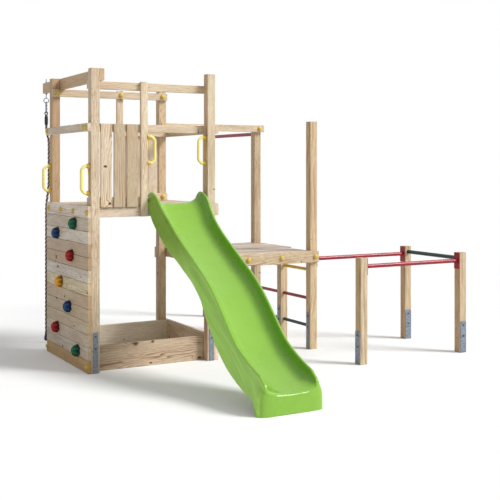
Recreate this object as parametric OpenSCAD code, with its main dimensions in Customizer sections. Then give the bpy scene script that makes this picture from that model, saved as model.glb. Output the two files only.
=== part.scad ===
/* [Posts] */
// Side of every square post
post = 70; // [60:1:80]
// Height of the tower posts
tower_h = 2320; // [2290:5:2420]
// Height of the back right tower post, which ends just above its rail
low_tower_h = 2246; // [2230:2:2260]
// Height of the posts at the far side of the low deck and of the high bar
deck_post_h = 1960; // [1900:5:2050]
// Height of the turning bar posts
turn_post_h = 845; // [845:5:950]

/* [Plan] */
// Spacing of the tower posts along the front
tower_x = 984; // [970:2:1000]
// Spacing of the tower posts from front to back
tower_y = 978; // [960:2:1000]
// Spacing from the tower to the ladder posts
bay_x = 985; // [960:5:1040]
// Spacing of the turning bar posts along the front
turn_x = 1028; // [950:2:1150]
// Spacing of the turning bar posts from front to back
turn_y = 732; // [650:2:800]
// Spacing from the ladder to the far post of the high bar
high_bar_y = 1042; // [950:2:1150]

/* [Timber] */
// Thickness of rails, beams and joists
rail_t = 28; // [24:1:30]
// Height of rails and battens
rail_h = 62; // [55:1:65]
// Width of boards and height of deck beams
board_w = 96; // [90:1:98]
// Thickness of floor and panel boards
board_t = 18; // [16:1:22]
// Thickness of the climbing wall boards
wall_t = 24; // [20:1:28]
// Gap between two climbing wall boards
wall_gap = 2; // [2:1:4]
// Number of climbing wall boards
wall_boards = 13; // [13:1:13]
// Width of the rope beam
rope_beam_t = 36; // [30:1:40]
// Height of the rope beam
rope_beam_h = 92; // [85:1:95]
// Length of the rope beam behind the tower
rope_beam_out = 434; // [400:2:500]
// Small rounding along the edges of the timber
edge = 3; // [2:0.5:4]

/* [Heights] */
// Top of the tower floor
floor_top = 1270; // [1268:1:1276]
// Height of the beams under the tower floor
floor_beam_h = 72; // [62:1:74]
// Underside of the tower handrails
handrail_z = 1840; // [1790:2:1850]
// Underside of the two top rails
top_rail_z = 2166; // [2160:1:2166]
// Top of the low deck
deck_top = 849; // [840:1:860]
// Height of the sandbox boards
sand_h = 195; // [180:1:200]

/* [Slide] */
// Outer width of the slide
slide_w = 492; // [480:2:494]
// Wall thickness of the moulded slide
slide_t = 6; // [5:0.5:7]
// Height of the side walls above the bed
slide_side = 95; // [85:1:100]

/* [Bars] */
// Diameter of the ladder rungs
rung_d = 28; // [24:1:32]
// Diameter of the turning bars and of the high bar
bar_d = 34; // [30:1:38]
// Height of the turning bars
turn_bar_z = 776; // [770:1:776]
// Height of the cross bar between the two outer turning posts
cross_bar_z = 795; // [785:1:800]
// Height of the high bar
high_bar_z = 1884; // [1860:1:1890]
// Depth of the blind holes that hold the bars
bar_seat = 40; // [30:1:45]
// Play of a bar in its hole
bar_play = 0.3; // [0.2:0.1:0.5]

/* [Fittings] */
// Diameter of a bolt cap
cap_d = 44; // [36:1:46]
// Length of a grab handle
handle_len = 250; // [230:5:260]
// Reach of a grab handle from its face
handle_reach = 76; // [72:1:84]
// Diameter of the grip of a handle
handle_d = 22; // [20:1:24]
// Diameter of a climbing hold
hold_d = 88; // [80:1:92]
// Depth of a climbing hold
hold_deep = 40; // [34:1:44]
// Width of the narrow ground straps
strap_w = 40; // [36:1:44]
// Width of the wide ground straps
strap_wide_w = 62; // [56:1:64]
// Thickness of the ground straps
strap_t = 5; // [4:0.5:6]

/* [Rope] */
// Diameter of the climbing rope
rope_d = 24; // [20:1:26]
// Free length of the rope between its sleeve and its end knob
rope_len = 1856; // [1700:2:1860]
// Wire diameter of the eye bolt
eye_d = 8; // [7:0.5:9]
// Wire diameter of the snap hook
hook_d = 8; // [7:0.5:9]

/* [Hidden] */
$fn = 48;

// Grid lines: left, right and ladder rows across, front, back and outer rows in depth
row_c = tower_x;
row_h = tower_x + bay_x;
row_j = row_h + turn_x;
line_back = tower_y;
line_mid = tower_y / 2;
line_turn = -turn_y;
line_far = tower_y + high_bar_y;
in_front = post;
in_back = line_back - rail_t;
out_back = line_back + post;

// Climbing wall and floor levels
wall_pitch = board_w + wall_gap;
wall_top = wall_boards * wall_pitch - wall_gap;
floor_under = floor_top - board_t;
floor_beam_z = floor_under - floor_beam_h;
batten_z = floor_top + 2;
panel_foot = floor_under + 7;
panel_top = handrail_z + rail_h;
rope_beam_z = top_rail_z + rail_h;
deck_beam_z = deck_top - 2 - board_w;
deck_under = deck_top - board_t;
high_rail_z = handrail_z + rail_h;

// Front panel boards, slide opening and its jamb
panel_n = 3;
panel_board = 92;
panel_pitch = 107;
panel_x = 97;
jamb_w = 58;
jamb_x = 424;
slide_x = (jamb_x + jamb_w + row_c) / 2;

// Rope fittings under the overhanging beam
eye_x = post + rope_beam_t / 2;
eye_y = out_back + rope_beam_out - 46;
eye_r = 22;
eye_z = rope_beam_z - 64;
ring_low_z = eye_z - eye_r;
hook_r = 15;
hook_len = 68;
hook_play = 1;
hook_top_z = ring_low_z - (hook_r - hook_d / 2) + eye_d / 2 + hook_play;
hook_low_z = hook_top_z - hook_len;
rope_pivot_z = hook_low_z - hook_r;
loop_d = 9;
loop_r = 13;
loop_z = rope_pivot_z - (loop_r - loop_d / 2) + hook_d / 2 + hook_play;
sleeve_d = 31;
sleeve_len = 96;
sleeve_top_z = loop_z - loop_r + 1;
rope_top_z = sleeve_top_z - sleeve_len;
rope_low_z = rope_top_z - rope_len;
rope_sides = 12;
rope_rings = 48;
rope_sway = 24;
knob_d = 37;
knob_len = 70;

// Foot of the slide: its front, the depth its front is bowed over, the power of the bow, the half width of
// its flat tip, the length over which the skirt turns into the foot, the rings its front wall is thick
foot_front = -1722;
foot_bow = 46;
foot_power = 7;
foot_tip = 140;
foot_turn = 60;
wall_back = 6;

// Section of the slide: rim inside the outer edge, how much further out it lies at the head, rounding of the
// rim, height and depth of the step under it, half of the level bed, dip of its middle
rim_in = 53;
head_flare = 22;
rim_r = 13;
rim_drop = 14;
rim_step = 3;
bed_half = 75;
bed_dip = 4;
head_z = floor_top + slide_t + bed_dip;

// Stations of the slide bed: place in depth, height, fall in degrees, side above the bed, skirt below it
slide_stations = [
    [132, head_z, 0, 46, 0],
    [100, head_z, 0, 76, -4],
    [66, head_z, 0, slide_side - 1, -4],
    [4, 1247, 36, slide_side + 9, 44],
    [-65, 1180, 42, slide_side + 5, 54],
    [-270, 1023, 35, slide_side, 46],
    [-555, 853, 29.5, slide_side, 16],
    [-730, 755, 29.5, slide_side, 5],
    [-855, 680, 34, slide_side, 16],
    [-1040, 524, 43.5, slide_side, 64],
    [-1165, 402, 43, slide_side, 70],
    [-1255, 323, 38, slide_side, 68],
    [-1395, 243, 26, slide_side, 70],
    [-1560, 175, 18, slide_side, 66],
    [-1628, 154, 16.5, slide_side, 58],
    [foot_front + 60, 144, 16, slide_side - 10, 144],
    [foot_front + 40, 138.5, 15.5, 76, 138.5],
    [foot_front + 25, 134.5, 15, 68, 134.5],
    [foot_front + 17, 133, 14, 59, 133],
    [foot_front + 11, 131.5, 13, 38, 131.5],
    [foot_front + 7, 129.5, 25, 25, 129.5],
    [foot_front + 3.5, 126, 40, 19, 126],
    [foot_front + 1.3, 121, 60, 14, 121],
    [foot_front, 113, 75, 10, 113],
];
slide_steps = [1, 2, 5, 4, 5, 5, 4, 3, 4, 3, 3, 3, 3, 2, 3, 1, 1, 1, 1, 1, 1, 1, 1];

// Overall box, which sets the origin under its middle
reach_left = max(wall_t + hold_deep, handle_reach);
slide_front = min([for (ring = slide_rings()) for (p = ring) p[1]]);
mid_x = (row_j + post - reach_left) / 2;
mid_y = (slide_front + line_far + post) / 2;

pine = "#D9C49C";
pine_dark = "#C2A678";
pine_grey = "#C9BCA6";
lime = "#7DBB2F";
cap_yellow = "#E8D44A";
red = "#C4202F";
green = "#0B6A52";
blue = "#1F4E8C";
amber = "#F2B01E";
steel = "#8A929C";
black = "#1A1A1C";

// Moves the plan's front left post corner so that the box is centred on the origin
module place() {
    translate([-mid_x, -mid_y, 0]) children();
}

// Planed stick with its four long edges eased, lying along x, y or z from the given corner
module eased(a, b, len) {
    linear_extrude(len) polygon([
        [edge, 0], [a - edge, 0], [a, edge], [a, b - edge],
        [a - edge, b], [edge, b], [0, b - edge], [0, edge],
    ]);
}

module stick_x(at, len, t, h) {
    translate([at[0], at[1] + t, at[2]]) rotate([90, 0, 90]) mirror([1, 0, 0]) eased(t, h, len);
}

module stick_y(at, len, t, h) {
    translate([at[0], at[1] + len, at[2]]) rotate([90, 0, 0]) eased(t, h, len);
}

module stick_z(at, len, a, b) {
    translate(at) eased(a, b, len);
}

// Bar or hole along x or y between two places
module rod_x(from, to, y, z, d) {
    translate([from, y, z]) rotate([0, 90, 0]) cylinder(h = to - from, d = d);
}

module rod_y(from, to, x, z, d) {
    translate([x, from, z]) rotate([-90, 0, 0]) cylinder(h = to - from, d = d);
}

module post_at(x, y, h) {
    stick_z([x, y, 0], h, post, post);
}

module post_front_left() {
    color(pine) place() post_at(0, 0, tower_h);
}

module post_back_left() {
    color(pine) place() post_at(0, line_back, tower_h);
}

module post_front_right() {
    color(pine) place() post_at(row_c, 0, tower_h);
}

module post_back_right() {
    color(pine) place() post_at(row_c, line_back, low_tower_h);
}

// Heights of the three rungs, from the lowest
rung_heights = [194, 431, 680];
rung_x = row_h + post / 2;
rung_hole_d = rung_d + 2 * bar_play;
bar_hole_d = bar_d + 2 * bar_play;

module rung_holes(from, to) {
    for (z = rung_heights) rod_y(from, to, rung_x, z, rung_hole_d);
}

module post_ladder_front() {
    color(pine) place() difference() {
        post_at(row_h, 0, deck_post_h);
        rung_holes(post - bar_seat, post + 1);
    }
}

module post_ladder_mid() {
    color(pine) place() difference() {
        post_at(row_h, line_mid, deck_under);
        rung_holes(line_mid - 1, line_mid + post + 1);
    }
}

module post_ladder_back() {
    color(pine) place() difference() {
        post_at(row_h, line_back, deck_post_h);
        rung_holes(line_back - 1, line_back + bar_seat);
        rod_y(out_back - bar_seat + 8, out_back + 1, rung_x, high_bar_z, bar_hole_d);
    }
}

module post_bar_far() {
    color(pine) place() difference() {
        post_at(row_h, line_far, deck_post_h);
        rod_y(line_far - 1, line_far + bar_seat, rung_x, high_bar_z, bar_hole_d);
    }
}

module post_turn_near() {
    color(pine) place() post_at(row_h, line_turn, turn_post_h);
}

module post_turn_back() {
    color(pine) place() difference() {
        post_at(row_j, 0, turn_post_h);
        rod_y(-1, bar_seat, row_j + post / 2, cross_bar_z, bar_hole_d);
    }
}

module post_turn_front() {
    color(pine) place() difference() {
        post_at(row_j, line_turn, turn_post_h);
        rod_y(line_turn + post - bar_seat, line_turn + post + 1, row_j + post / 2, cross_bar_z, bar_hole_d);
    }
}

module top_rail_front() {
    color(pine) place() stick_x([0, in_front, top_rail_z], row_c + post, rail_t, rail_h);
}

module top_rail_back() {
    color(pine) place() stick_x([0, in_back, top_rail_z], row_c + post, rail_t, rail_h);
}

// Beam along the left side, on the two top rails, that carries the rope behind the tower
module rope_beam() {
    color(pine_dark) place() difference() {
        stick_y([post, 0, rope_beam_z], out_back + rope_beam_out, rope_beam_t, rope_beam_h);
        translate([eye_x, eye_y, rope_beam_z - 1]) cylinder(h = rope_beam_h + 2, d = eye_d + 2 * bar_play);
    }
}

module handrail_front() {
    color(pine) place() stick_x([0, in_front, handrail_z], row_c + post, rail_t, rail_h);
}

module handrail_left() {
    color(pine_grey) place() stick_y([-rail_t, 0, handrail_z], out_back + 20, rail_t, rail_h);
}

module handrail_right() {
    color(pine_dark) place() stick_y([row_c + post, 0, handrail_z], out_back, rail_t, rail_h);
}

// The back panel fills the right half, so its rail runs from the jamb to the right post
back_shift = 12;
jamb_back_x = row_c + post - jamb_x - jamb_w + back_shift;

module handrail_back() {
    color(pine) place()
        stick_x([jamb_back_x, in_back, handrail_z], row_c + post - jamb_back_x, rail_t, rail_h);
}

// Rail from the tower to the back ladder post
module high_rail() {
    color(pine) place()
        stick_x([row_c, in_back, high_rail_z], row_h + post + 20 - row_c, rail_t, rail_h);
}

jamb_len = rope_beam_z + 8 - floor_beam_z;

module jamb_front() {
    color(pine) place() stick_z([jamb_x, in_front - rail_t, floor_beam_z], jamb_len, jamb_w, rail_t);
}

module jamb_back() {
    color(pine) place() stick_z([jamb_back_x, line_back, floor_beam_z], jamb_len, jamb_w, rail_t);
}

module panel_boards(y) {
    for (i = [0:panel_n - 1])
        stick_z([panel_x + i * panel_pitch, y, panel_foot], panel_top - panel_foot, panel_board, board_t);
}

module panel_front() {
    color(pine) place() panel_boards(in_front - board_t);
}

module panel_back() {
    color(pine_grey) place()
        translate([row_c + post + back_shift, 0, 0]) mirror([1, 0, 0]) panel_boards(line_back);
}

module batten_front() {
    color(pine) place() stick_x([0, in_front, batten_z], jamb_x + jamb_w, rail_t, rail_h);
}

module batten_back() {
    color(pine) place()
        stick_x([jamb_back_x, in_back, batten_z], row_c + post - jamb_back_x, rail_t, rail_h);
}

module floor_beam_front() {
    color(pine) place() stick_x([0, in_front, floor_beam_z], row_c + post, rail_t, floor_beam_h);
}

module floor_beam_back() {
    color(pine) place() stick_x([0, in_back, floor_beam_z], row_c + post, rail_t, floor_beam_h);
}

module floor_beam_right() {
    color(pine_dark) place() stick_y([row_c + post, 0, wall_top - board_w], out_back, rail_t, board_w);
}

// Two joists between the side beams, at the thirds of the floor
joist_lines = [350, 664];

module floor_joists() {
    color(pine_dark) place() for (y = joist_lines)
        stick_x([0, y - rail_t / 2, floor_beam_z], row_c + post, rail_t, floor_beam_h);
}

floor_n = 10;
floor_pitch = (row_c + post + 5) / floor_n;

module floor_boards() {
    color(pine) place() for (i = [0:floor_n - 1])
        stick_y([i * floor_pitch, in_front, floor_under], line_back - in_front, floor_pitch - 5, board_t);
}

module wall() {
    color(pine_grey) place() for (i = [0:wall_boards - 1])
        stick_y([-wall_t, 0, i * wall_pitch], out_back, wall_t, board_w);
}

// Lobed hold on the wall: rings of [share of radius, share of depth, share of lobing] up to its bolt recess
hold_lobes = 6;
hold_sides = 36;
lobe_cut = 0.2;
hold_rings = [
    [1, 0, 1], [1, 0.25, 1], [0.93, 0.58, 1], [0.76, 0.85, 0.8],
    [0.5, 1, 0.4], [0.24, 1, 0], [0.2, 0.7, 0],
];

function hold_ring(ring) = [
    for (k = [0:hold_sides - 1])
        let (
            a = 360 * k / hold_sides,
            r = hold_d / 2 * ring[0] * (1 - lobe_cut * ring[2] * (1 - cos(hold_lobes * a)) / 2)
        ) [r * cos(a), r * sin(a), hold_deep * ring[1]]
];

// Closed skin over rings of points, from the first ring up to the last
module tube(rings) {
    n = len(rings[0]);
    last = len(rings) - 1;
    skin = [for (r = [0:last - 1]) for (i = [0:n - 1])
        let (j = (i + 1) % n)
        each [[r * n + i, (r + 1) * n + j, r * n + j], [r * n + i, (r + 1) * n + i, (r + 1) * n + j]]];
    ends = [[for (i = [0:n - 1]) i], [for (i = [n - 1:-1:0]) last * n + i]];
    polyhedron(points = [for (ring = rings) each ring], faces = concat(skin, ends));
}

module hold(y, z) {
    translate([-wall_t, y, z]) rotate([0, -90, 0]) tube([for (ring = hold_rings) hold_ring(ring)]);
}

module holds_green() {
    color(green) place() {
        hold(303, 1125);
        hold(228, 144);
    }
}

module holds_blue() {
    color(blue) place() {
        hold(736, 1026);
        hold(434, 459);
    }
}

module holds_red() {
    color(red) place() {
        hold(374, 869);
        hold(744, 252);
    }
}

module hold_yellow() {
    color(amber) place() hold(648, 636);
}

module sandbox_front() {
    color(pine_dark) place() stick_x([0, in_front, 0], row_c + post, rail_t, sand_h);
}

module sandbox_back() {
    color(pine_dark) place() stick_x([0, in_back, 0], row_c + post, rail_t, sand_h);
}

module sandbox_right() {
    color(pine_dark) place() stick_y([row_c + post, 0, 0], out_back, rail_t, sand_h);
}

// Cubic blend between two stations of the slide: [y, z, lean of the section, side, skirt], the sections
// upright at its foot
function fall(a) = [-cos(a), -sin(a)];
function lean_at(y, d) = atan2(-d[1], -d[0]) * max(0, min(1, (y - foot_front - 60) / 70));
function bed_at(a, b, t) =
    let (
        chord = norm([b[0] - a[0], b[1] - a[1]]),
        from = chord * fall(a[2]),
        to = chord * fall(b[2]),
        start = [a[0], a[1]],
        end = [b[0], b[1]],
        blend = 3 * t^2 - 2 * t^3,
        p = (1 - blend) * start + (t^3 - 2 * t^2 + t) * from + blend * end + (t^3 - t^2) * to,
        d = (6 * t^2 - 6 * t) * (start - end) + (3 * t^2 - 4 * t + 1) * from + (3 * t^2 - 2 * t) * to
    ) [p[0], p[1], lean_at(p[0], d), a[3] + blend * (b[3] - a[3]), a[4] + blend * (b[4] - a[4])];

// Half width of the slide, drawn in round the bowed front of its foot
function half_at(y) =
    let (into = min(1, max(0, foot_front + foot_bow - y) / foot_bow))
        max(foot_tip, slide_w / 2 * (1 - into^2)^(1 / foot_power));

// Half of the section from the middle of the bed up the curved wall and over the rim to the foot of the
// skirt, whose flange rises to the collar round the foot
function half_section(side, skirt, half, foot, flare) =
    let (
        rim = min(slide_w / 2 - rim_in + flare, half - 24),
        bed = min(bed_half, 0.4 * rim),
        crown = min(rim_r, 0.45 * side),
        wall = [for (a = [15:15:75]) [bed + (rim - rim_r - bed) * sin(a), (side - crown) * (1 - cos(a))]],
        roll = [for (a = [165:-41.25:0]) [rim + rim_r * cos(a), side - crown + crown * sin(a)]],
        drop = min(rim_drop, 0.3 * side),
        step = min(rim_step, 0.05 * side),
        low = min(30, 0.6 * (side - crown - drop + skirt)),
        flange = low + foot * (skirt + 0.1 * min(side, 30) - low)
    ) concat([[0, -bed_dip], [0.6 * bed, -bed_dip / 2], [bed, 0]], wall, roll, [
        [rim + rim_r, side - crown - 0.7 * drop],
        [rim + rim_r - step, side - crown - drop],
        [half - 9, -skirt + flange],
        [half - 3, -skirt + 0.8 * flange],
        [half, -skirt + 0.5 * flange],
        [half, -skirt],
    ]);

function turned(p, q) = let (d = q - p) [d[1], -d[0]] / norm(d);
function under_side(line) = [
    for (i = [0:len(line) - 1])
        let (
            before = turned(line[max(0, i - 1)], line[max(1, i)]),
            after = turned(line[min(i, len(line) - 2)], line[min(i + 1, len(line) - 1)]),
            sum = before + after
        ) line[i] + slide_t * 2 * sum / (sum * sum)
];

function section(bed) =
    let (
        foot = max(0, min(1, (foot_front + 60 + foot_turn - bed[0]) / foot_turn)),
        flare = head_flare * eased_in((bed[0] + 230) / 260),
        half = half_section(bed[3], bed[4], half_at(bed[0]), foot, flare),
        n = len(half),
        top = concat([for (i = [n - 1:-1:1]) [-half[i][0], half[i][1]]], half)
    ) concat(top, under_side(top));

function ring_at(bed) = [
    for (p = section(bed))
        [slide_x + p[0], bed[0] - p[1] * sin(bed[2]), bed[1] + p[1] * cos(bed[2])]
];

function slide_path() = concat(
    [for (i = [0:len(slide_stations) - 2]) for (k = [0:slide_steps[i] - 1])
        bed_at(slide_stations[i], slide_stations[i + 1], k / slide_steps[i])],
    [bed_at(slide_stations[len(slide_stations) - 2], slide_stations[len(slide_stations) - 1], 1)]
);
function slide_rings() = [for (bed = slide_path()) ring_at(bed)];

// Thin shell over rings of points, the first half of each on its upper skin and the second half on its
// lower one; the upper skin closes as a front wall, the lower one stops the given number of rings behind it
module shell(rings, behind) {
    n = len(rings[0]);
    m = n / 2;
    last = len(rings) - 1;
    inner = last - behind;
    function quad(r, a, b) =
        [[r * n + a, r * n + b, (r + 1) * n + b], [r * n + a, (r + 1) * n + b, (r + 1) * n + a]];
    upper = [for (r = [0:last - 1]) for (i = [0:m - 2]) each quad(r, i, i + 1)];
    lower = [for (r = [0:inner - 1]) for (i = [0:m - 2]) each quad(r, m + i + 1, m + i)];
    edges = [for (r = [0:inner - 1]) each concat(quad(r, m - 1, n - 1), quad(r, m, 0))];
    back = [for (i = [0:m - 2]) each [[i, m + i, i + 1], [m + i, m + i + 1, i + 1]]];
    front = [[for (i = [0:m - 1]) last * n + i], [for (i = [m - 1:-1:0]) inner * n + m + i]];
    near = inner * n;
    next = near + n;
    rim_foot = [[near, next, near + m], [near + m, next, next + m - 1],
        [near + m, next + m - 1, near + n - 1], [near + n - 1, next + m - 1, near + m - 1]];
    foot = [for (r = [inner + 1:last - 1]) [r * n, (r + 1) * n, (r + 1) * n + m - 1, r * n + m - 1]];
    polyhedron(points = [for (ring = rings) each ring],
        faces = concat(upper, lower, edges, back, front, rim_foot, foot));
}

module slide() {
    color(lime) place() shell(slide_rings(), wall_back);
}

// Grab handle that stands off a face towards +x, with its feet one above the other
module handle() {
    bend = 46;
    foot_z = handle_d * 0.7;
    leg = handle_reach - handle_d / 2 - bend;
    for (end = [0, 1]) translate([0, 0, end * handle_len]) mirror([0, 0, end]) {
        translate([0, 0, foot_z]) rotate([0, 90, 0]) cylinder(h = leg, d = handle_d);
        translate([0, 0, foot_z]) rotate([0, 90, 0]) cylinder(h = 14, d1 = handle_d + 10, d2 = handle_d);
        translate([leg, 0, foot_z + bend]) rotate([-90, 0, 0]) rotate_extrude(angle = 90)
            translate([bend, 0]) circle(d = handle_d);
        translate([leg + bend, 0, foot_z + bend]) cylinder(h = handle_len / 2 - foot_z - bend, d = handle_d);
    }
}

module handles() {
    color(cap_yellow) place() {
        for (y = [0, line_back]) translate([0, y + post / 2, 1346]) mirror([1, 0, 0]) handle();
        translate([jamb_x + jamb_w, in_front - rail_t / 2, 1578]) handle();
        translate([row_c, in_front / 2, 1578]) mirror([1, 0, 0]) handle();
    }
}

module deck_beam_front() {
    color(pine) place() stick_x([row_c, -rail_t, deck_beam_z], bay_x + post, rail_t, board_w);
}

module deck_beam_back() {
    color(pine) place() stick_x([row_c, out_back, deck_beam_z], bay_x + post, rail_t, board_w);
}

deck_x = row_c + post;
deck_joist_h = 70;
deck_cap_x = [1348, 1667];
deck_joist_x = [deck_x, deck_cap_x[0] - rail_t / 2, deck_cap_x[1] - rail_t / 2, row_h - rail_t];

module deck_joists() {
    color(pine_dark) place() for (x = deck_joist_x)
        stick_y([x, 0, deck_under - deck_joist_h], out_back, rail_t, deck_joist_h);
}

// Boards across the joists; those from the middle ladder post back reach over its top
deck_n = 10;
deck_pitch = (out_back + 6) / deck_n;

module deck_boards() {
    color(pine_grey) place() for (i = [0:deck_n - 1]) {
        y = i * deck_pitch;
        over = y >= line_mid - 70 && y + deck_pitch < line_back ? post : 0;
        stick_x([deck_x, y, deck_under], row_h - deck_x + over, deck_pitch - 6, board_t);
    }
}

module rung(i) {
    rod_y(post - bar_seat, line_back + bar_seat, rung_x, rung_heights[i], rung_d);
}

module rung_green() {
    color(green) place() rung(0);
}

module rung_red() {
    color(red) place() rung(1);
}

module rung_yellow() {
    color(cap_yellow) place() rung(2);
}

// Bar with a welded plate at each end, screwed to the faces of two posts
plate_w = 62;
plate_h = 136;
plate_t = 6;

module turn_bar(y) {
    from = row_h + post;
    rod_x(from, row_j, y + post / 2, turn_bar_z, bar_d);
    for (x = [from, row_j - plate_t])
        translate([x, y + (post - plate_w) / 2, turn_bar_z - plate_h / 2]) cube([plate_t, plate_w, plate_h]);
}

module turn_bar_back() {
    color(red) place() turn_bar(0);
}

module turn_bar_front() {
    color(red) place() turn_bar(line_turn);
}

module cross_bar() {
    color(green) place()
        rod_y(line_turn + post - bar_seat, bar_seat, row_j + post / 2, cross_bar_z, bar_d);
}

module high_bar() {
    color(red) place() rod_y(out_back - bar_seat + 8, line_far + bar_seat, rung_x, high_bar_z, bar_d);
}

// Ground straps: [x, y, turn, width, height] with the strap's outer face towards -y before it turns
strap_places = [
    [post / 2, 0, 0, strap_w, 311],
    [row_c + post / 2, 0, 0, strap_w, 311],
    [post / 2, out_back, 180, strap_w, 311],
    [row_c + post / 2, out_back, 180, strap_w, 311],
    [row_h, post / 2, -90, strap_w, 315],
    [row_h, line_mid + post / 2, -90, strap_w, 315],
    [row_h, line_back + post / 2, -90, strap_w, 315],
    [row_h, line_far + post / 2, -90, strap_w, 315],
    [row_h, line_turn + post / 2, -90, strap_wide_w, 265],
    [row_j + post / 2, 0, 0, strap_wide_w, 265],
    [row_j + post / 2, line_turn, 0, strap_wide_w, 265],
];
strap_bolt_drop = [32, 124];

module strap(w, h) {
    round = 10;
    rotate([90, 0, 0]) linear_extrude(strap_t) {
        translate([-w / 2, 0]) square([w, h - round]);
        translate([-w / 2 + round, h - round]) square([w - 2 * round, round]);
        for (s = [-1, 1]) translate([s * (w / 2 - round), h - round]) circle(r = round);
    }
}

module ground_straps() {
    color(steel) place() for (s = strap_places)
        translate([s[0], s[1], 0]) rotate(s[2]) strap(s[3], s[4]);
}

module strap_bolts() {
    color(steel) place() for (s = strap_places) for (drop = strap_bolt_drop)
        translate([s[0], s[1], 0]) rotate(s[2]) translate([0, -strap_t, s[4] - drop]) rotate([90, 0, 0])
            cylinder(h = 6, d = 17, $fn = 6);
}

// Domed cap over a bolt head, standing off a face towards -y before it turns
module cap(at, turn) {
    flange = 4;
    translate(at) rotate(turn) rotate([90, 0, 0]) {
        cylinder(h = flange, d = cap_d);
        translate([0, 0, flange]) intersection() {
            cylinder(h = cap_d, d = cap_d - 3);
            translate([0, 0, -cap_d * 0.22]) sphere(d = cap_d * 1.04);
        }
    }
}

cap_inset = post / 2;
rail_mid = rail_h / 2;
wall_cap_z = wall_top - 51;

module bolt_caps() {
    color(cap_yellow) place() {
        for (y = [28, line_back + 18]) cap([-wall_t, y, wall_cap_z], -90);
        for (y = [30, line_back + 46]) cap([-wall_t, y, board_w / 2], -90);
        for (y = [38, in_front + 22, line_back + 46]) cap([-rail_t, y, handrail_z + rail_mid], -90);
        for (y = joist_lines) cap([-wall_t, y, wall_cap_z], -90);
        for (x = [46, jamb_back_x + 27, row_c + 23]) cap([x, in_back, top_rail_z + rail_mid], 0);
        cap([row_c + 27, in_back, batten_z + rail_mid], 0);
        for (x = [row_c + 50, row_h + 40]) cap([x, in_back, high_rail_z + rail_mid], 0);
        for (x = concat([row_c + cap_inset], deck_cap_x, [row_h + cap_inset]))
            cap([x, -rail_t, deck_beam_z + board_w / 2], 0);
        for (x = concat([row_c + cap_inset], deck_cap_x, [row_h + cap_inset]))
            cap([x, out_back + rail_t, deck_beam_z + board_w / 2], 180);
        for (y = [cap_inset, line_back + cap_inset]) {
            cap([row_c + post + rail_t, y, wall_cap_z], 90);
            cap([row_c + post + rail_t, y, handrail_z + rail_mid], 90);
        }
        for (y = joist_lines) cap([row_c + post + rail_t, y, wall_cap_z], 90);
    }
}

// Eye bolt through the rope beam, with a nut and washer above and below
module eye_bolt() {
    washer_d = 26;
    nut_d = 18;
    color(steel) place() translate([eye_x, eye_y, 0]) {
        translate([0, 0, eye_z]) rotate([90, 0, 0])
            rotate_extrude() translate([eye_r, 0]) circle(d = eye_d);
        translate([0, 0, eye_z + eye_r]) cylinder(h = tower_h + 36 - eye_z - eye_r, d = eye_d);
        for (z = [rope_beam_z - 2, rope_beam_z + rope_beam_h])
            translate([0, 0, z]) cylinder(h = 2, d = washer_d);
        for (z = [rope_beam_z - 9, rope_beam_z + rope_beam_h + 2]) translate([0, 0, z])
            cylinder(h = 7, d = nut_d, $fn = 6);
    }
}

// Snap hook: a long link across the ring, with its gate along the front side
module snap_hook() {
    color(steel) place() translate([eye_x, eye_y, 0]) {
        for (y = [-hook_r, hook_r]) translate([0, y, hook_low_z]) cylinder(h = hook_len, d = hook_d);
        translate([0, 0, hook_top_z]) rotate([90, 0, 90]) rotate_extrude(angle = 180)
            translate([hook_r, 0]) circle(d = hook_d);
        translate([0, 0, hook_low_z]) rotate([-90, 0, 90]) rotate_extrude(angle = 180)
            translate([hook_r, 0]) circle(d = hook_d);
        translate([0, -hook_r, hook_low_z + 20]) cylinder(h = 44, d = hook_d + 4);
    }
}

// Loop and moulded sleeve that hold the top of the rope
module rope_sleeve() {
    color(black) place() translate([eye_x, eye_y, 0]) {
        translate([0, 0, loop_z]) rotate([90, 0, 0])
            rotate_extrude() translate([loop_r, 0]) circle(d = loop_d);
        translate([0, 0, rope_top_z]) rotate_extrude() polygon([
            [0, 0], [sleeve_d * 0.34, 0], [sleeve_d * 0.46, 12], [sleeve_d * 0.5, 30],
            [sleeve_d * 0.5, sleeve_len - 30], [sleeve_d * 0.42, sleeve_len - 10],
            [sleeve_d * 0.28, sleeve_len], [0, sleeve_len],
        ]);
    }
}

// Tube along the hanging rope, which bulges sideways in its upper part
function eased_in(u) = let (v = max(0, min(1, u))) 3 * v^2 - 2 * v^3;
function rope_drift(t) = rope_sway * eased_in(t / 0.09) * (1 - eased_in((t - 0.26) / 0.15));
function rope_ring(t) = [
    for (k = [0:rope_sides - 1])
        let (a = 360 * k / rope_sides)
            [eye_x + rope_drift(t) + rope_d / 2 * cos(a), eye_y + rope_d / 2 * sin(a), rope_top_z - t * rope_len]
];

module rope() {
    color(black) place() tube([for (i = [0:rope_rings]) rope_ring(1 - i / rope_rings)]);
}

module rope_end() {
    color(black) place() translate([eye_x, eye_y, rope_low_z - knob_len]) rotate_extrude() polygon([
        [0, 0], [knob_d * 0.3, 0], [knob_d * 0.46, 8], [knob_d * 0.5, 20],
        [knob_d * 0.47, 36], [knob_d * 0.36, 50], [knob_d * 0.3, knob_len], [0, knob_len],
    ]);
}

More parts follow.
